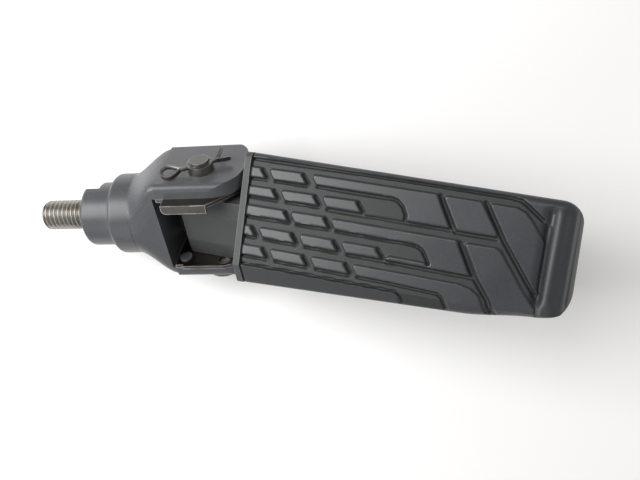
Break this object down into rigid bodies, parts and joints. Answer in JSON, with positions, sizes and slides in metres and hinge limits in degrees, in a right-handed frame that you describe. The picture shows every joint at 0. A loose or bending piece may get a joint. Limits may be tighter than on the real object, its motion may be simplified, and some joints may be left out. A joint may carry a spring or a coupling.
{
  "type": "motorcycle passenger footpeg",
  "caption": "Folding passenger footpeg: a fork bracket with a threaded stud and a clevis pin carries a long peg under a patterned rubber tread.",
  "frame": {"origin": "on the axis of the stud, at the bracket's shoulder face that seats on the frame", "axes": "-X out along the stud, +X to the peg, +Z the tread side, +Y the rear edge of the tread"},
  "size_m": [0.1703, 0.0538, 0.0552],
  "materials": {
    "bracket_paint": "satin dark grey paint",
    "bare_steel": "bare turned steel, slightly dull",
    "sheet_steel": "dark sheet steel with bright sheared edges",
    "cast_core": "dull grey casting",
    "tread_rubber": "matt charcoal rubber with a light sheen"
  },
  "bodies": {
    "bracket_body": {"bracket": "bracket_paint", "threaded_stud": "bare_steel", "pivot_pin": "bare_steel", "split_pin": "bare_steel", "upper_click_plate": "sheet_steel", "lower_click_plate": "sheet_steel"},
    "peg": {"peg_core": "cast_core", "rubber_tread": "tread_rubber", "insert_plate": "sheet_steel", "inner_screw": "bare_steel", "outer_screw": "bare_steel", "inner_washer": "bare_steel", "outer_washer": "bare_steel", "click_ball": "bare_steel", "click_spring": "bare_steel"}
  },
  "joints": [
    {"name": "peg_fold", "type": "hinge", "parent": "bracket_body", "child": "peg", "pos_m": [0.0427, -0.00211, 0.0028], "axis": [0, -0.7986, -0.6018], "range_deg": [0, 75]}
  ]
}
